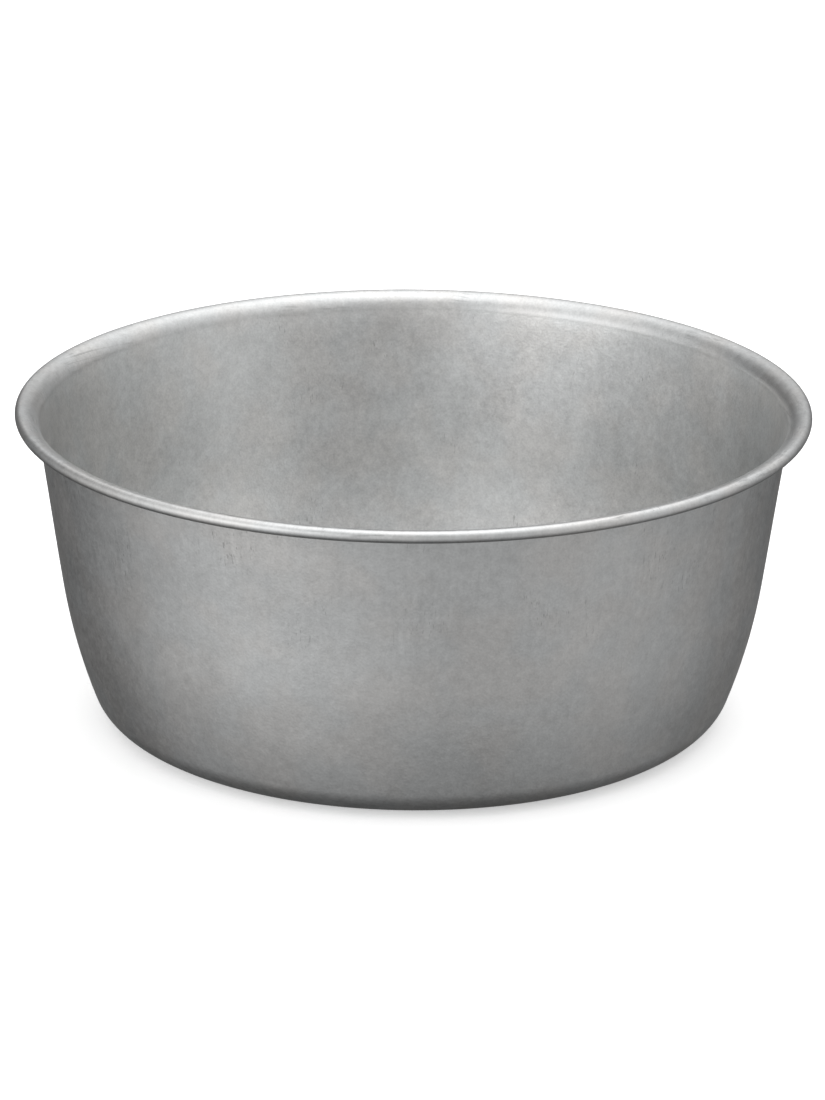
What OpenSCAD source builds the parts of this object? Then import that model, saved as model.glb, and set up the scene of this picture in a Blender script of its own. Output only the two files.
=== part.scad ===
// Mixing bowl: one pressed sheet with a flat base, a bellied wall that leans outwards,
// a flared lip and an edge rolled into a bead round a stiffening wire.
// The origin is the centre of the base, where it rests on the table. +Z is up.

/* [Rim] */
// Outside diameter over the rolled bead
rim_d = 240; // [200:1:300]
// Outside diameter of the rolled bead
bead_d = 3.6; // [2.8:0.1:4.5]
// How far the edge is rolled round from the bead's crest, in degrees
bead_turn = 280; // [250:1:280]
// Radius of the flare between the wall and the bead, on the inside skin
flare_r = 5.6; // [5:0.1:9]
// Gap between the wire and the sheet rolled round it
wire_gap = 0.1; // [0.05:0.05:0.3]

/* [Wall] */
// Height from the base to the bead's crest
bowl_h = 97; // [90:1:130]
// Thickness of the sheet
sheet_t = 0.6; // [0.4:0.05:0.8]
// Lean of the straight upper wall from the vertical, in degrees
wall_lean = 8.1; // [6:0.1:12]
// Radius of the belly, the long bend of the lower wall, on the outside skin
belly_r = 175; // [120:1:180]
// Lean of the wall where the belly meets the corner, in degrees
belly_lean = 20.3; // [14:0.1:23]

/* [Base] */
// Radius of the corner between the belly and the base, on the outside skin
corner_r = 13; // [8:0.5:20]

/* [Hidden] */
$fn = 360;

// Turn between two points of the outline on a tight bend and on the belly, in degrees
tight_step = 5;
belly_step = 1.5;

// The bends' centres are [distance from the bowl's axis, height], worked out from the rim
// downwards, so that each stretch of the outside skin runs smoothly into the next.
bead_r = bead_d / 2;
bead_c = [rim_d / 2 - bead_r, bowl_h - bead_r];
wire_d = bead_d - 2 * (sheet_t + wire_gap);
flare_c = [bead_c[0], bowl_h - flare_r];
wall_top = flare_c + (flare_r - sheet_t) * heading(180 - wall_lean);
belly_drop = belly_r * (sin(belly_lean) - sin(wall_lean));
corner_drop = corner_r * (1 - sin(belly_lean));
wall_drop = wall_top[1] - belly_drop - corner_drop;
wall_end = wall_top - wall_drop * [tan(wall_lean), 1];
belly_c = wall_end - belly_r * heading(-wall_lean);
corner_c = belly_c + (belly_r - corner_r) * heading(-belly_lean);

function heading(angle) = [cos(angle), sin(angle)];

// Points along one bend. first = 1 leaves out the point that it shares with the stretch before.
function bend(centre, r, from, to, step, first = 0) =
    let (n = ceil(abs(to - from) / step))
    [for (i = [first:n]) centre + r * heading(from + (to - from) * i / n)];

// One skin of the sheet, from the centre of the floor to the free edge inside the bead.
// depth is 0 on the outside skin and sheet_t on the inside skin.
function skin(depth) = concat(
    [[0, depth]],
    bend(corner_c, corner_r - depth, -90, -belly_lean, tight_step),
    bend(belly_c, belly_r - depth, -belly_lean, -wall_lean, belly_step, first = 1),
    bend(flare_c, flare_r - sheet_t + depth, 180 - wall_lean, 90, tight_step),
    bend(bead_c, bead_r - sheet_t + depth, 90, 90 - bead_turn, tight_step, first = 1)
);

function backwards(points) = [for (i = [len(points) - 1:-1:0]) points[i]];

// The whole pressed sheet, turned about the bowl's axis
module bowl_shell() {
    color([0.62, 0.63, 0.62])
        rotate_extrude()
            polygon(concat(skin(0), backwards(skin(sheet_t))));
}

// The round wire that the edge is rolled round
module rim_wire() {
    color([0.45, 0.46, 0.47])
        rotate_extrude()
            translate(bead_c)
                circle(d = wire_d);
}

bowl_shell();
rim_wire();
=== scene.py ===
# %% [markdown]
# # A pressed steel mixing bowl
# This lesson builds a deep mixing bowl in matte steel. The real one is a single disc of
# stainless sheet, pressed over a die into a floor, a corner and a wall, then flared at the lip
# and rolled outwards into a bead round a stiffening wire.
#
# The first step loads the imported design. It is the fixed frame that everything is built round:
# its boxes say how wide and how tall the bowl is and where the wire lies.

# %% Load the design
import math
import bpy
from mathutils import Matrix, Vector


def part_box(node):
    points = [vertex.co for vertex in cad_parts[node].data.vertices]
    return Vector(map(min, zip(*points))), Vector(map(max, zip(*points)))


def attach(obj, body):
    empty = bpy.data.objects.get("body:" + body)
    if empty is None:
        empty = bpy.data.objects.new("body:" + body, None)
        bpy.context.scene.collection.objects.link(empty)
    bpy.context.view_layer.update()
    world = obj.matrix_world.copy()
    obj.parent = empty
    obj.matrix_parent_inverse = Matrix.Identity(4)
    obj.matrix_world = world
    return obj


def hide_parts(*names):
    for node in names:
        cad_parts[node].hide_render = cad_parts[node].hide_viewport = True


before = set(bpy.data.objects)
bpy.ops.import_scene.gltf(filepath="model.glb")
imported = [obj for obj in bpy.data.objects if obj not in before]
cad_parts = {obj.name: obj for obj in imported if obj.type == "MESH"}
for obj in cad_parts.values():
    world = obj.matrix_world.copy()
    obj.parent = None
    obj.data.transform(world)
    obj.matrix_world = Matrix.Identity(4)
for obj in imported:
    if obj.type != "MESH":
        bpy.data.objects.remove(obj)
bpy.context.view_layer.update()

# %% [markdown]
# ## The bowl's own measures
# The outside of the bowl comes from the boxes of the two nodes. A round wire fills the bead, so
# the middle of the wire's box is the middle of the bead, and the bead reaches from there to the
# crest of the rim. The bends of the sheet can't be read from a box, so they are named here.
# Metres are used throughout, as in the frame.

# %% Measure the rim and name the bends
shell_low, shell_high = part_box("bowl_shell")
wire_low, wire_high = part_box("rim_wire")
RIM_R = max(shell_high.x, shell_high.y, -shell_low.x, -shell_low.y)
RIM_Z = shell_high.z
BEAD_Z = (wire_low.z + wire_high.z) / 2
BEAD_R = RIM_Z - BEAD_Z
BEAD_X = RIM_R - BEAD_R

SHEET = 0.0006
FLARE_R = 0.0056
WALL_LEAN = math.radians(8.1)
BELLY_R = 0.175
BELLY_LEAN = math.radians(20.3)
CORNER_R = 0.013
BEAD_TURN = math.radians(280)
print(f"rim radius {RIM_R:.4f}, rim height {RIM_Z:.4f}, bead radius {BEAD_R:.5f}")

# %% [markdown]
# ## Where each bend is centred
# The sheet's outside skin is followed from the rim down. Each bend is a piece of a circle whose
# end runs smoothly into the next stretch, so every centre follows from the one above it. Only
# the straight stretch of the wall has a length to solve for: it takes up the height that the
# bends leave.

# %% Work out the centres of the bends
def heading(angle):
    """A step of one along a direction in the section plane: X is outwards, Z is up."""
    return Vector((math.cos(angle), 0, math.sin(angle)))


bead_centre = Vector((BEAD_X, 0, BEAD_Z))
flare_centre = Vector((BEAD_X, 0, RIM_Z - FLARE_R))
wall_top = flare_centre + (FLARE_R - SHEET) * heading(math.pi - WALL_LEAN)
belly_drop = BELLY_R * (math.sin(BELLY_LEAN) - math.sin(WALL_LEAN))
corner_drop = CORNER_R * (1 - math.sin(BELLY_LEAN))
wall_drop = wall_top.z - (belly_drop + corner_drop)
wall_end = wall_top - Vector((wall_drop * math.tan(WALL_LEAN), 0, wall_drop))
belly_centre = wall_end - BELLY_R * heading(-WALL_LEAN)
corner_centre = belly_centre + (BELLY_R - CORNER_R) * heading(-BELLY_LEAN)
FLOOR_R = corner_centre.x
print(f"flat floor radius {FLOOR_R:.4f}, straight wall drops {wall_drop:.4f}")

# %% [markdown]
# ## Drawing the section
# A bowl is a line turned about an axis, so the line is drawn first. A plane merged at its
# centre leaves one vertex, on the axis. That vertex is pulled outwards for the floor, then spun
# about each bend's centre in turn, and pulled straight up the wall. After each operator only
# the new end of the line is selected, so the next one carries on from there.
#
# The other way is to extrude a ring of edges from a disc over and over, scaling each ring. It
# works, but spinning gives true arcs with evenly spaced points, and the bead needs that.

# %% Draw the line from the floor's centre to the end of the bead
FLOOR_STEPS = 14
WALL_STEPS = 12
TIGHT_STEP = math.radians(5)
BELLY_STEP = math.radians(1.5)
Y_AXIS = (0, 1, 0)
START_SIZE = 0.01


def pull(step, times=1):
    """Extrude the end of the line by a step, a number of times."""
    for _ in range(times):
        bpy.ops.mesh.extrude_region_move(TRANSFORM_OT_translate={"value": step})


def bend(centre, turn, step):
    """Carry the end of the line round a centre. A positive turn goes from floor to wall."""
    bpy.ops.mesh.spin(steps=math.ceil(abs(turn) / step), angle=turn, center=centre, axis=Y_AXIS)


bpy.ops.object.select_all(action="DESELECT")
bpy.ops.mesh.primitive_plane_add(size=START_SIZE, location=(0, 0, 0))
bowl = bpy.context.object
bowl.name = bowl.data.name = "bowl_sheet"
bpy.ops.object.mode_set(mode="EDIT")
bpy.ops.mesh.select_mode(type="VERT")
bpy.ops.mesh.select_all(action="SELECT")
bpy.ops.mesh.merge(type="CENTER")

pull((FLOOR_R / FLOOR_STEPS, 0, 0), FLOOR_STEPS)
bend(corner_centre, math.pi / 2 - BELLY_LEAN, TIGHT_STEP)
bend(belly_centre, BELLY_LEAN - WALL_LEAN, BELLY_STEP)
pull((wall_top - wall_end) / WALL_STEPS, WALL_STEPS)
bend(flare_centre, WALL_LEAN - math.pi / 2, TIGHT_STEP)
bend(bead_centre, -BEAD_TURN, TIGHT_STEP)
bpy.ops.object.mode_set(mode="OBJECT")
print("points on the section:", len(bowl.data.vertices))

# %% [markdown]
# ## Turning the line into a sheet
# Spinning the line once about the bowl's axis gives the whole surface. The spin leaves a seam
# where the last copy meets the first, and a stack of vertices on the axis, so the doubles are
# merged. Then the faces are made to agree, and turned if the floor looks upwards: the line is
# the sheet's outside skin, so its faces should look down and out.

# %% Spin the line and close the seam
AROUND_STEPS = 288
SEAM_GAP = 0.00001

bpy.ops.object.mode_set(mode="EDIT")
bpy.ops.mesh.select_all(action="SELECT")
bpy.ops.mesh.spin(steps=AROUND_STEPS, angle=2 * math.pi, center=(0, 0, 0), axis=(0, 0, 1))
bpy.ops.mesh.select_all(action="SELECT")
bpy.ops.mesh.remove_doubles(threshold=SEAM_GAP)
bpy.ops.mesh.normals_make_consistent(inside=False)
bpy.ops.object.mode_set(mode="OBJECT")
lowest_face = min(bowl.data.polygons, key=lambda face: face.center.z)
if lowest_face.normal.z > 0:
    bpy.ops.object.mode_set(mode="EDIT")
    bpy.ops.mesh.flip_normals()
    bpy.ops.object.mode_set(mode="OBJECT")
print("faces on the outside skin:", len(bowl.data.polygons), "floor looks", lowest_face.normal.z)

# %% [markdown]
# ## A wall that isn't quite true
# Thin sheet springs back a little after pressing, so a real wall is never a perfect cone: light
# slides over it in slow waves. A Displace modifier with a soft cloud texture moves the wall by
# about a tenth of a millimetre. Its strength is weighted by a vertex group that fades to nothing
# at the corner and at the flare, so the base stays flat and the rim stays round.

# %% Let the wall wander by a tenth of a millimetre
WAVE_SIZE = 0.045
WAVE_HEIGHT = 0.00024
FADE = 0.018


def fade_in(value, start):
    """0 up to start, then rising smoothly to 1 over the fade's length."""
    share = min(max((value - start) / FADE, 0), 1)
    return share * share * (3 - 2 * share)


springy = bowl.vertex_groups.new(name="springy_wall")
for vertex in bowl.data.vertices:
    height = vertex.co.z
    springy.add([vertex.index], fade_in(height, CORNER_R) * fade_in(-height, -wall_top.z), "REPLACE")

waves = bpy.data.textures.new("sheet_waves", "CLOUDS")
waves.noise_scale = WAVE_SIZE
wander = bowl.modifiers.new("wander", "DISPLACE")
wander.texture = waves
wander.texture_coords = "LOCAL"
wander.vertex_group = springy.name
wander.strength = WAVE_HEIGHT
bpy.ops.object.modifier_apply(modifier=wander.name)
print(f"waves {WAVE_SIZE * 1000:.0f} mm long, strength {WAVE_HEIGHT * 1000:.2f} mm")

# %% [markdown]
# ## Giving the sheet its thickness
# Solidify pulls a second skin off the first, at the same distance everywhere. The faces look
# down and out, so an offset of -1 puts the second skin inside the bowl, and on the bead that
# same side is the outside of the roll. A small Bevel then takes the sharpness off the sheared
# edge, which ends inside the bead.

# %% Thicken the sheet and break its sheared edge
thicken = bowl.modifiers.new("thicken", "SOLIDIFY")
thicken.thickness = SHEET
thicken.offset = -1
thicken.use_even_offset = True
thicken.use_quality_normals = True
bpy.ops.object.modifier_apply(modifier=thicken.name)

SHEARED_EDGE = math.radians(60)
SMOOTH_UNDER = math.radians(35)
edge_break = bowl.modifiers.new("edge_break", "BEVEL")
edge_break.width = SHEET / 5
edge_break.segments = 2
edge_break.limit_method = "ANGLE"
edge_break.angle_limit = SHEARED_EDGE
bpy.ops.object.modifier_apply(modifier=edge_break.name)
bpy.ops.object.shade_smooth_by_angle(angle=SMOOTH_UNDER)
bowl.vertex_groups.clear()
low = [min(v.co[axis] for v in bowl.data.vertices) for axis in range(3)]
high = [max(v.co[axis] for v in bowl.data.vertices) for axis in range(3)]
print("bowl_sheet faces:", len(bowl.data.polygons), "box:", low, high)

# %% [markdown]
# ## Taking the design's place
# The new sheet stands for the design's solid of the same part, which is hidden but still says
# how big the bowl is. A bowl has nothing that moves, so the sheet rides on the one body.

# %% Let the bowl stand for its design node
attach(bowl, "root")
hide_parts("bowl_shell")
print(bowl.name, "rides on root and replaces bowl_shell")

# %% [markdown]
# ## Telling the two skins apart
# The inside of a working bowl is scoured every day and the outside keeps the marks of the
# press, so the finish differs between them. One material can serve both if it can tell which
# skin it is on. A mesh attribute does that: every point that looks up or towards the axis is
# marked 1, and the rest 0. Two material slots would work too, but would leave a hard line at the
# bead, where the inner skin rolls over and becomes the outside.

# %% Mark the points of the inner skin
INNER_MARK = "inner_skin"


def looks_in(vertex):
    """True where a point of the bowl faces up or towards the axis."""
    outwards = Vector((vertex.co.x, vertex.co.y, 0)).normalized()
    return vertex.normal.z > vertex.normal.dot(outwards)


mark = bowl.data.attributes.new(INNER_MARK, "FLOAT", "POINT")
for vertex in bowl.data.vertices:
    mark.data[vertex.index].value = float(looks_in(vertex))
print("inner points:", sum(looks_in(v) for v in bowl.data.vertices), "of", len(bowl.data.vertices))

# %% [markdown]
# ## Helpers for building a finish
# A finish is a chain of nodes, and writing it out socket by socket hides the idea. These small
# helpers let the chain read like a recipe. An input may be a plain number or the output of
# another node, and the helper links or sets it as needed.

# %% Helpers for nodes
def add_node(tree, kind, feeds=None, **settings):
    """Add a node, set its properties, then feed its inputs with numbers or with links."""
    node = tree.nodes.new(kind)
    for name, value in settings.items():
        setattr(node, name, value)
    for name, value in (feeds or {}).items():
        if isinstance(value, bpy.types.NodeSocket):
            tree.links.new(value, node.inputs[name])
        else:
            node.inputs[name].default_value = value
    return node


def maths(tree, operation, first, second=0.0):
    """Combine two values. Sockets of a Math node share one name, so they go by number."""
    return add_node(tree, "ShaderNodeMath", {0: first, 1: second}, operation=operation).outputs[0]


def vector_maths(tree, operation, first, second=(0, 0, 0)):
    """Combine two vectors into a third."""
    return add_node(tree, "ShaderNodeVectorMath", {0: first, 1: second}, operation=operation).outputs[0]


def fade(tree, value, start, end, low=0.0, high=1.0):
    """Turn a value into a smooth step from low to high as it goes from start to end."""
    feeds = {"Value": value, "From Min": start, "From Max": end, "To Min": low, "To Max": high}
    return add_node(tree, "ShaderNodeMapRange", feeds, interpolation_type="SMOOTHSTEP").outputs[0]


def noise(tree, where, size, detail=2.0):
    """Cloudy noise from 0 to 1 whose lumps are about this size in metres."""
    feeds = {"Vector": where, "Scale": 1 / size, "Detail": detail}
    return add_node(tree, "ShaderNodeTexNoise", feeds).outputs["Fac"]


def centred(tree, value, amount):
    """Swing a noise about nothing: its middle, 0.5, becomes 0 and its ends about amount."""
    return maths(tree, "MULTIPLY", maths(tree, "SUBTRACT", value, 0.5), 2 * amount)


def add_up(tree, first, *others):
    """Add several values together."""
    total = first
    for other in others:
        total = maths(tree, "ADD", total, other)
    return total


helpers = (add_node, maths, vector_maths, fade, noise, centred, add_up)
print("helpers:", [helper.__name__ for helper in helpers])

# %% [markdown]
# ## Where a point is on the bowl
# Marks follow the way the sheet was drawn, so the finish needs three measures of each point:
# how far it is from the axis, how high it is, and which way round the bowl. The last is given
# as a point on a circle of the rim's size, which has no seam. Squeezing the height of that
# point makes a noise run down the wall in streaks. All of them come from Object coordinates,
# which are the piece's own metres.

# %% Measures for the steel's finish
steel = bpy.data.materials.new("tumbled_steel")
steel.use_nodes = True
tree = steel.node_tree
steel_shader = tree.nodes["Principled BSDF"]

where = add_node(tree, "ShaderNodeTexCoord").outputs["Object"]
inner = add_node(tree, "ShaderNodeAttribute", attribute_name=INNER_MARK).outputs["Fac"]
flat = vector_maths(tree, "MULTIPLY", where, (1, 1, 0))
from_axis = add_node(tree, "ShaderNodeVectorMath", {0: flat}, operation="LENGTH").outputs["Value"]
height = add_node(tree, "ShaderNodeSeparateXYZ", {0: where}).outputs["Z"]
on_ring = vector_maths(tree, "MULTIPLY", vector_maths(tree, "NORMALIZE", flat), (RIM_R, RIM_R, 0))


def down_the_wall(squeeze):
    """Coordinates in which a noise runs down the wall, so many times longer than wide."""
    up = vector_maths(tree, "MULTIPLY", where, (0, 0, 1 / squeeze))
    return vector_maths(tree, "ADD", on_ring, up)


print("nodes that measure a point:", len(tree.nodes))

# %% [markdown]
# ## Where each kind of wear shows
# Each mask is a number from 0 to 1. The flare and the bead are rubbed by hands and cloths, so
# they share a mask of their own, which rises with the height where the wall ends. Draw marks,
# left as the wall slid through the die, are on the outside of the upper wall, in patches. The
# outer edge of the flat base takes the scuffs when the bowl is slid about, and spoons and whisks
# work the floor inside. Each cut, here and below, is the pair of levels between which a noise
# goes from nothing to full: a narrow pair gives a hard edge and a wide pair a soft one.

# %% Masks for the bead, the draw marks, the base and the floor inside
LIP_START = wall_top.z - BEAD_R
LIP_END = wall_top.z + BEAD_R
PATCH = 0.02
PATCH_CUT = (0.48, 0.66)
DRAWN_FROM = 0.35 * RIM_Z
DRAWN_TO = 0.8 * RIM_Z
FAINTEST = 0.35
UNDERSIDE = (0.7 * SHEET, 0.3 * SHEET)
BASE_EDGE = (0.8 * FLOOR_R, 0.97 * FLOOR_R)
STIRRED_FROM = 1.2 * CORNER_R
bead = fade(tree, height, LIP_START, LIP_END)
outer = maths(tree, "SUBTRACT", 1.0, inner)
upper_wall = fade(tree, height, DRAWN_FROM, DRAWN_TO)
patches = fade(tree, noise(tree, where, PATCH), *PATCH_CUT)
open_wall = maths(tree, "MULTIPLY", outer, maths(tree, "SUBTRACT", 1.0, bead))
slid = maths(tree, "MULTIPLY", upper_wall, open_wall)
drawn = maths(tree, "MULTIPLY", patches, slid)
drawn_hard = maths(tree, "MULTIPLY", fade(tree, patches, 0, 1, FAINTEST, 1), slid)
base = fade(tree, height, *UNDERSIDE)
base_edge = maths(tree, "MULTIPLY", base, fade(tree, from_axis, *BASE_EDGE))
stirred = maths(tree, "MULTIPLY", inner, fade(tree, height, STIRRED_FROM, 2 * SHEET))
print(f"the lip's mask rises from a height of {LIP_START:.4f} to {LIP_END:.4f}")

# %% [markdown]
# ## Clouds and grain
# Tumbling in a drum of stones leaves the steel matte, with no direction. Seen close it is a
# fine grain, under a millimetre across. Seen from further off it is cloudy, because some places
# were struck more than others, and the clouds are also shifted so that a bright one lies on the
# inside's highlight and a dark one on its left: in part they are painted highlight and painted
# shade. Three sizes of noise give that. A fourth one drifts the colour a little between a warm
# and a cool grey, as a thin film of oxide does.

# %% Clouds, patches and grain
# The clouds' shift places a bright cloud on the inside's highlight and a dark one on its left: in part
# a painted highlight and painted shade.
CLOUD_SHIFT_FOR_PAINTED_LIGHT = (0.2, 0.94, 0.69)
OTHER_SHIFT = (0.5, 0.2, 0.9)
CLOUD_SIZE = 0.03
DAPPLE_SIZE = 0.008
FLECK_SIZE = 0.0022
GRAIN_SIZE = 0.0007
WARMTH_SIZE = 0.02
WARMTH_CUT = (0.38, 0.62)

cloud_place_for_painted_light = vector_maths(tree, "ADD", where, CLOUD_SHIFT_FOR_PAINTED_LIGHT)
clouds = noise(tree, cloud_place_for_painted_light, CLOUD_SIZE, 3)
dapple = noise(tree, cloud_place_for_painted_light, DAPPLE_SIZE, 2)
fleck = noise(tree, where, FLECK_SIZE, 2)
grain = noise(tree, where, GRAIN_SIZE, 1)
elsewhere = vector_maths(tree, "ADD", where, OTHER_SHIFT)
warmth = fade(tree, noise(tree, elsewhere, WARMTH_SIZE, 2), *WARMTH_CUT)
print("nodes after the clouds and the grain:", len(tree.nodes))

# %% [markdown]
# ## Streaks, pits and nicks
# The draw marks are long soft streaks with short dark pits among them, where the sheet caught
# on the die. Both are noises that run down the wall, cut off at a level so that only the peaks
# are left. Nicks are knocks from other tins: a Voronoi texture scatters one dot in each cell,
# and its random colour keeps only a few of them.

# %% Streaks, pits and nicks
STREAK_WIDTH = 0.0014
STREAK_STRETCH = 11
PIT_WIDTH = 0.0006
PIT_STRETCH = 4
PIT_CUT = (0.62, 0.74)
SCOURED_SIZE = 0.012
SCOURED_CUT = (0.6, 0.7)
SCOURED_SHARE = 0.7
NICK_SPACING = 0.017
NICK_SIZE = 0.0005
NICK_CORE = 0.4 * NICK_SIZE
LOT_CUT = (0.6, 0.62)

streaks = noise(tree, down_the_wall(STREAK_STRETCH), STREAK_WIDTH, 2)
pit_noise = noise(tree, down_the_wall(PIT_STRETCH), PIT_WIDTH, 1)
scoured = fade(tree, noise(tree, elsewhere, SCOURED_SIZE), *SCOURED_CUT)
scoured_spots = maths(tree, "MULTIPLY", scoured, inner)
pitted = maths(tree, "MAXIMUM", drawn, maths(tree, "MULTIPLY", scoured_spots, SCOURED_SHARE))
pits = maths(tree, "MULTIPLY", fade(tree, pit_noise, *PIT_CUT), pitted)
dots = add_node(tree, "ShaderNodeTexVoronoi", {"Vector": where, "Scale": 1 / NICK_SPACING})
from_dot = dots.outputs["Distance"]
near_dot = fade(tree, from_dot, NICK_SIZE / NICK_SPACING, NICK_CORE / NICK_SPACING)
lot = add_node(tree, "ShaderNodeSeparateColor", {0: dots.outputs["Color"]}).outputs[0]
nicks = maths(tree, "MULTIPLY", near_dot, fade(tree, lot, *LOT_CUT))
print("nodes after the streaks, the pits and the nicks:", len(tree.nodes))

# %% [markdown]
# ## Smears on the bead, and scratches that go round
# Grime gathers along the bead in short smears that follow the rim. The base is scuffed in arcs,
# as the bowl turns on the bench while it is stirred, and the floor inside is scratched in rings
# by the whisk. All three are noises squeezed along the rim: they vary quickly with the distance
# from the axis and slowly round it.

# %% Smears on the bead, scuffs on the base and rings on the floor inside
ROUND_SQUEEZE = 0.12
SMEAR_WIDTH = 0.0011
SMEAR_CUT = (0.5, 0.7)
SMEARED_SIZE = 0.03
SMEARED_CUT = (0.54, 0.62)
SCRATCH_WIDTH = 0.0006
SCUFF_CUT = (0.52, 0.7)
RING_CUT = (0.48, 0.66)

ring_steps = vector_maths(tree, "MULTIPLY", on_ring, (ROUND_SQUEEZE, ROUND_SQUEEZE, 0))
rise = add_node(tree, "ShaderNodeCombineXYZ", {"X": from_axis, "Y": height}).outputs[0]
along_ring = vector_maths(tree, "ADD", ring_steps, rise)
smear_noise = noise(tree, along_ring, SMEAR_WIDTH, 3)
smear_places = fade(tree, noise(tree, elsewhere, SMEARED_SIZE, 1), *SMEARED_CUT)
smears = maths(tree, "MULTIPLY", fade(tree, smear_noise, *SMEAR_CUT), smear_places)
smears = maths(tree, "MULTIPLY", smears, bead)
scratches = noise(tree, along_ring, SCRATCH_WIDTH, 4)
scuffs = maths(tree, "MULTIPLY", fade(tree, scratches, *SCUFF_CUT), base_edge)
rings = maths(tree, "MULTIPLY", fade(tree, scratches, *RING_CUT), stirred)
print("nodes after the smears, the scuffs and the rings:", len(tree.nodes))

# %% [markdown]
# ## Mixing the colour
# Everything so far is gathered into one number, the shade, that multiplies the grey. Each part
# moves it by a few hundredths: a matte metal shows much more than that as dirt. The inside is
# a lighter grey, partly because it is scoured clean and partly as painted light that brightens
# its highlight, and its clouds and grain are stronger. Its floor is painted darker, a painted
# shade that holds back the strong light from above. The rubbed lip is painted a touch darker,
# a painted shade that tones down its highlight, and has fainter clouds than either skin.

# %% The steel's colour
WARM_GREY = (0.572, 0.568, 0.560, 1)
COOL_GREY = (0.558, 0.566, 0.566, 1)
# The inside's lift is partly its scoured finish and partly painted light; the bead's and the inner
# floor's lifts are painted shade.
INNER_LIFT_AND_PAINTED_LIGHT = 1.22
BEAD_PAINTED_SHADE = 0.96
FLOOR_PAINTED_SHADE = 0.66
INNER_CLOUDS = 1.35
LIP_CLOUDS = 0.45
CLOUD_SWING = 0.09
STREAK_SWING = 0.15
OUTER_GRAIN = 0.26
INNER_GRAIN = 0.31
DARKER = ((pits, -0.34), (nicks, -0.4), (smears, -0.25), (scuffs, -0.12), (rings, -0.1))

grain_share = fade(tree, inner, 0, 1, OUTER_GRAIN, INNER_GRAIN)
grain_part = maths(tree, "MULTIPLY", maths(tree, "SUBTRACT", grain, 0.5), grain_share)
fleck_part = maths(tree, "MULTIPLY", maths(tree, "SUBTRACT", fleck, 0.5), grain_share)
streak_part = maths(tree, "MULTIPLY", centred(tree, streaks, STREAK_SWING), drawn_hard)
cloud_part = add_up(tree, centred(tree, clouds, CLOUD_SWING), centred(tree, dapple, CLOUD_SWING))
cloud_share = fade(tree, bead, 0, 1, fade(tree, inner, 0, 1, 1, INNER_CLOUDS), LIP_CLOUDS)
cloud_part = maths(tree, "MULTIPLY", cloud_part, cloud_share)
shade = add_up(tree, 1.0, cloud_part, grain_part)
shade = add_up(tree, shade, fleck_part, streak_part)
for mark_mask, darkening in DARKER:
    shade = maths(tree, "ADD", shade, maths(tree, "MULTIPLY", mark_mask, darkening))
# These lifts multiply the shade: partly real finish, partly painted light on the inside and painted
# shade on the bead and the inner floor.
skin_tone_and_painted_light = fade(tree, bead, 0, 1, fade(tree, inner, 0, 1, 1, INNER_LIFT_AND_PAINTED_LIGHT), BEAD_PAINTED_SHADE)
skin_tone_and_painted_light = maths(tree, "MULTIPLY", skin_tone_and_painted_light, fade(tree, stirred, 0, 1, 1, FLOOR_PAINTED_SHADE))
shade = maths(tree, "MULTIPLY", shade, skin_tone_and_painted_light)

grey_feeds = {"Factor": warmth, 6: COOL_GREY, 7: WARM_GREY}
grey = add_node(tree, "ShaderNodeMix", grey_feeds, data_type="RGBA")
shaded_feeds = {0: grey.outputs[2], "Scale": shade}
shaded = add_node(tree, "ShaderNodeVectorMath", shaded_feeds, operation="SCALE")
tree.links.new(shaded.outputs[0], steel_shader.inputs["Base Color"])
steel_shader.inputs["Metallic"].default_value = 1
print("nodes after the colour:", len(tree.nodes))

# %% [markdown]
# ## Roughness and bump
# The tumbled skin spreads its highlights wide. The scoured inside is smoother, and the bead,
# rubbed by cloths, lies between the two, with duller smears. The grain, streaks and pits also go
# into a Bump node as heights of a few hundredths of a millimetre at most, so that they catch the
# light and don't only look painted.

# %% The steel's roughness and bump
MATTE = 0.42
SCOURED = 0.34
RUBBED = 0.37
UNEVEN = ((clouds, 0.05), (fleck, 0.05), (grain, 0.04))
ROUGHER = ((smears, 0.15), (scuffs, -0.08), (stirred, 0.08))
BUMP_HEIGHT = 0.00003
BEAD_GRAIN = 0.3
DEPTHS = ((pits, -0.5), (nicks, -2.0), (scuffs, -0.4), (rings, -0.3))

roughness = fade(tree, bead, 0, 1, fade(tree, inner, 0, 1, MATTE, SCOURED), RUBBED)
for unevenness, swing in UNEVEN:
    roughness = maths(tree, "ADD", roughness, centred(tree, unevenness, swing))
for mark_mask, duller in ROUGHER:
    roughness = maths(tree, "ADD", roughness, maths(tree, "MULTIPLY", mark_mask, duller))
tree.links.new(roughness, steel_shader.inputs["Roughness"])

relief = maths(tree, "MULTIPLY", grain, fade(tree, bead, 0, 1, 1, BEAD_GRAIN))
relief = maths(tree, "ADD", relief, maths(tree, "MULTIPLY", streaks, drawn_hard))
for mark_mask, depth in DEPTHS:
    relief = maths(tree, "ADD", relief, maths(tree, "MULTIPLY", mark_mask, depth))
relief_feeds = {"Height": relief, "Distance": BUMP_HEIGHT, "Strength": 1.0}
bump = add_node(tree, "ShaderNodeBump", relief_feeds)
tree.links.new(bump.outputs["Normal"], steel_shader.inputs["Normal"])

bowl.data.materials.clear()
bowl.data.materials.append(steel)
print("nodes in the steel's finish:", len(tree.nodes))

# %% [markdown]
# ## The wire in the bead
# The wire keeps its own design solid, because a round wire is exactly that shape. It is only
# given a finish. Drawn wire has fine lines along its length, left by the die that it was pulled
# through, and it is a little brighter than the sheet. The lines vary quickly over the wire's
# section and very slowly along it, so the noise is read from the section, with a little of the
# way round the ring mixed in.

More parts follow.
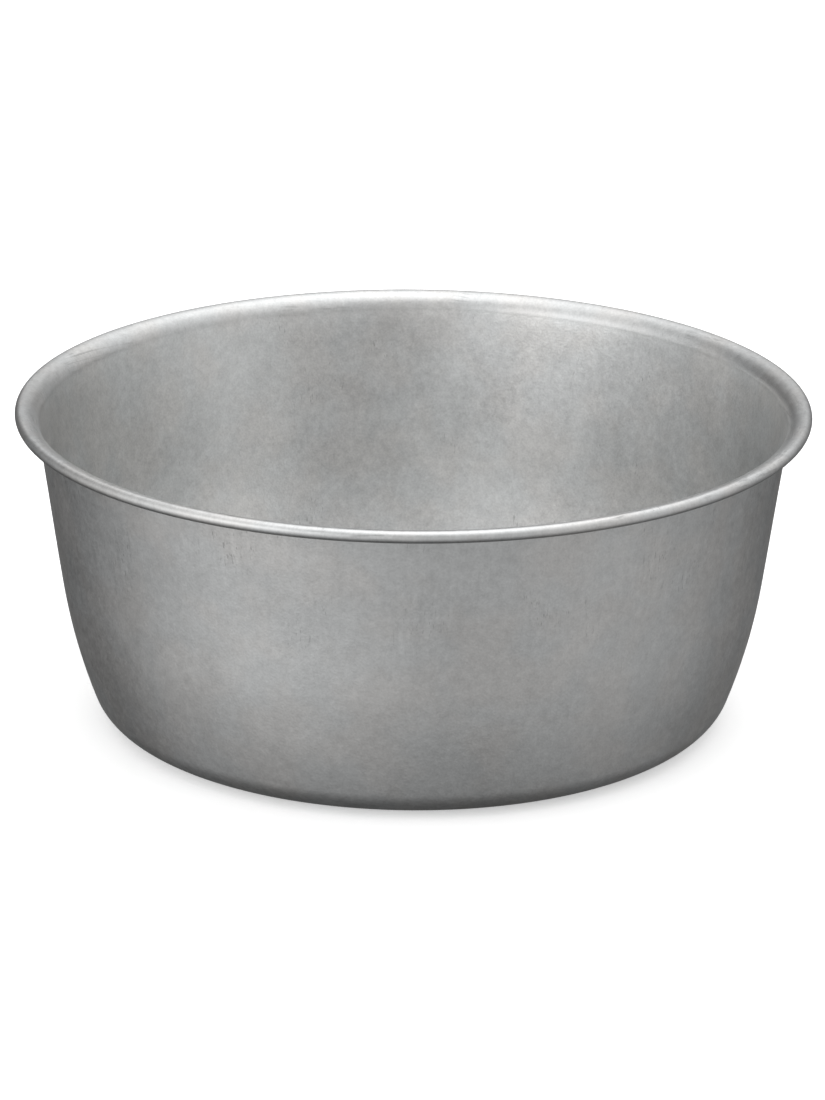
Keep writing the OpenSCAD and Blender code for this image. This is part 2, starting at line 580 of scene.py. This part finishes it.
# %% Give the wire the look of drawn wire
DRAWN_LINE = 0.00012
LINE_SLOWNESS = 0.01
TARNISH_SIZE = 0.006
WIRE_GREY = (0.60, 0.60, 0.59)
LINE_SHADE = 0.12
TARNISH_SHADE = 0.08
WIRE_ROUGHNESS = 0.3
LINE_ROUGHNESS = 0.08
TARNISH_ROUGHNESS = 0.06
LINE_DEPTH = DRAWN_LINE / 12

wire_finish = bpy.data.materials.new("drawn_wire")
wire_finish.use_nodes = True
tree = wire_finish.node_tree
wire_shader = tree.nodes["Principled BSDF"]
place_on_wire = add_node(tree, "ShaderNodeTexCoord").outputs["Object"]
level_part = vector_maths(tree, "MULTIPLY", place_on_wire, (1, 1, 0))
ring_distance = add_node(tree, "ShaderNodeVectorMath", {0: level_part}, operation="LENGTH")
wire_height = add_node(tree, "ShaderNodeSeparateXYZ", {0: place_on_wire}).outputs["Z"]
section_feeds = {"X": ring_distance.outputs["Value"], "Y": wire_height}
section = add_node(tree, "ShaderNodeCombineXYZ", section_feeds).outputs[0]
slow_way_round = vector_maths(tree, "MULTIPLY", place_on_wire, (0, LINE_SLOWNESS, LINE_SLOWNESS))
lines = noise(tree, vector_maths(tree, "ADD", section, slow_way_round), DRAWN_LINE, 2)
tarnish = noise(tree, place_on_wire, TARNISH_SIZE, 2)
line_shade = centred(tree, lines, LINE_SHADE)
tarnish_shade = centred(tree, tarnish, TARNISH_SHADE)
wire_shade = add_up(tree, 1.0, line_shade, tarnish_shade)
wire_feeds = {0: WIRE_GREY, "Scale": wire_shade}
wire_colour = add_node(tree, "ShaderNodeVectorMath", wire_feeds, operation="SCALE")
tree.links.new(wire_colour.outputs[0], wire_shader.inputs["Base Color"])
wire_shader.inputs["Metallic"].default_value = 1
line_roughness = centred(tree, lines, LINE_ROUGHNESS)
tarnish_roughness = centred(tree, tarnish, TARNISH_ROUGHNESS)
wire_roughness = add_up(tree, WIRE_ROUGHNESS, line_roughness, tarnish_roughness)
tree.links.new(wire_roughness, wire_shader.inputs["Roughness"])
bump_feeds = {"Height": lines, "Distance": LINE_DEPTH, "Strength": 1.0}
wire_bump = add_node(tree, "ShaderNodeBump", bump_feeds)
tree.links.new(wire_bump.outputs["Normal"], wire_shader.inputs["Normal"])

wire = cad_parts["rim_wire"]
wire.data.materials.clear()
wire.data.materials.append(wire_finish)
print("nodes in the wire's finish:", len(tree.nodes))

# %% [markdown]
# ## The camera
# A long lens from well back, a little above the rim, keeps the bowl's sides nearly parallel.
# The camera's place is worked out from the rim: so many rim radii away, at an angle above the
# table. It looks down slightly more steeply than the line to the rim's middle, which leaves the
# bowl just below the middle of the frame. The lens is given as a share of the sensor's long
# side.

# %% Place the camera
CAMERA_AWAY = 14 * RIM_R
CAMERA_HEIGHT = math.radians(17.86)
LOOK_DOWN = math.radians(19.377)
ROLL = math.radians(0.438)
LENS_SHARE = 5.066
FARTHEST_SEEN = 20

camera_data = bpy.data.cameras.new("camera")
camera = bpy.data.objects.new("camera", camera_data)
bpy.context.scene.collection.objects.link(camera)
camera_data.lens = LENS_SHARE * camera_data.sensor_width
camera_data.clip_end = FARTHEST_SEEN

rim_middle = Vector((0, 0, RIM_Z))
camera_way = Vector((0, -math.cos(CAMERA_HEIGHT), math.sin(CAMERA_HEIGHT)))
place = rim_middle + CAMERA_AWAY * camera_way
forward = Vector((0, math.cos(LOOK_DOWN), -math.sin(LOOK_DOWN)))
level = Vector((1, 0, 0))
upright = level.cross(forward)
right = math.cos(ROLL) * level + math.sin(ROLL) * upright
up = math.cos(ROLL) * upright - math.sin(ROLL) * level
turn = Matrix((right, up, -forward)).transposed().to_4x4()
camera.matrix_world = Matrix.Translation(place) @ turn
bpy.context.scene.camera = camera
print(f"lens {camera_data.lens:.1f} mm, camera at", [round(c, 3) for c in place])

# %% [markdown]
# ## The floor
# A plain pale floor lets the bowl stand on something and takes its soft shadow. Its paper has a
# slight mottle. A real studio would keep the paper out of the steel's reflections with black
# cards, so that the lower wall falls away to dark. Here the floor is simply left out of what
# shiny surfaces see.

# %% Lay the floor
FLOOR_SIDE = 8
PAPER_GLOW = 0.35
PAPER_DARK = 0.88
PAPER_LIGHT = 0.9
PAPER_ROUGHNESS = 0.9
MOTTLE_SIZE = 0.05
WHITE = (1, 1, 1, 1)

bpy.ops.object.select_all(action="DESELECT")
bpy.ops.mesh.primitive_plane_add(size=FLOOR_SIDE, location=(0, 0, 0))
floor = bpy.context.object
floor.name = floor.data.name = "studio_floor"
floor.visible_glossy = False

paper = bpy.data.materials.new("floor_paper")
paper.use_nodes = True
tree = paper.node_tree
paper_shader = tree.nodes["Principled BSDF"]
on_floor = add_node(tree, "ShaderNodeTexCoord").outputs["Object"]
mottle = noise(tree, on_floor, MOTTLE_SIZE, 3)
paper_shade = fade(tree, mottle, 0, 1, PAPER_DARK, PAPER_LIGHT)
tree.links.new(paper_shade, paper_shader.inputs["Base Color"])
paper_shader.inputs["Roughness"].default_value = PAPER_ROUGHNESS
paper_shader.inputs["Emission Color"].default_value = WHITE
paper_shader.inputs["Emission Strength"].default_value = PAPER_GLOW
floor.data.materials.append(paper)
print("floor:", floor.name, [round(side, 2) for side in floor.dimensions])

# %% [markdown]
# ## The lights
# Matte steel shows broad, soft pictures of whatever is round it, so its shading is mostly the
# studio. Lamps with sharp edges would look harsh. Instead each light is a soft glow on the sky:
# it is brightest in one direction and falls away all round, faster the narrower it is. A glow
# is the cosine of the angle from its middle, raised to a power. The list gives each one's
# bearing from the camera, its height in degrees, the power and the strength.

# %% Light the studio with soft glows
SKY_GLOW = 0.09
GLOWS = {
    "overhead softbox": (0, 90, 6, 1.9),
    "softbox behind": (180, 50, 8, 1.35),
    "softbox behind on the right": (120, 35, 6, 0.8),
    "key at front left": (-46, 15, 13, 1.14),
    "softbox at high left": (-75, 55, 10, 0.32),
    "softbox at high right": (45, 45, 10, 0.45),
    "fill at front left": (-50, 3, 2, 1.0),
    "fill at front right": (58, 3, 2, 0.7),
    "card at left": (-95, 10, 6, 0.34),
    "low card at right": (108, -28, 6, 0.1),
    "table edge in front": (0, -30, 3, 0.15),
}


def direction(bearing, height):
    """A step of one towards a light. A bearing of 0 is the camera's side and 90 is its right."""
    around = math.radians(bearing)
    above = math.radians(height)
    return (math.cos(above) * math.sin(around), -math.cos(above) * math.cos(around), math.sin(above))


world = bpy.data.worlds.new("studio")
bpy.context.scene.world = world
world.use_nodes = True
tree = world.node_tree
look = add_node(tree, "ShaderNodeTexCoord").outputs["Generated"]
light = SKY_GLOW
for bearing, height, power, strength in GLOWS.values():
    feeds = {0: look, 1: direction(bearing, height)}
    towards = add_node(tree, "ShaderNodeVectorMath", feeds, operation="DOT_PRODUCT").outputs["Value"]
    glow = maths(tree, "POWER", maths(tree, "MAXIMUM", towards, 0.0), power)
    light = maths(tree, "ADD", maths(tree, "MULTIPLY", glow, strength), light)
background = tree.nodes["Background"]
tree.links.new(light, background.inputs["Color"])
print("glows on the sky:", len(GLOWS))

# %% [markdown]
# The camera itself shouldn't see the glows where the floor ends, only a plain pale wall. A Light
# Path node tells the two kinds of ray apart, and a Mix Shader gives each its own background.

# %% Show the camera a plain wall
WALL_WHITE = (0.95, 0.95, 0.95, 1)
plain_wall = add_node(tree, "ShaderNodeBackground", {"Color": WALL_WHITE})
seen = add_node(tree, "ShaderNodeLightPath").outputs["Is Camera Ray"]
mix_feeds = {0: seen, 1: background.outputs[0], 2: plain_wall.outputs[0]}
either = add_node(tree, "ShaderNodeMixShader", mix_feeds)
tree.links.new(either.outputs[0], tree.nodes["World Output"].inputs["Surface"])
bpy.context.scene.view_settings.view_transform = "Standard"
print("the camera sees a wall of", WALL_WHITE[0])
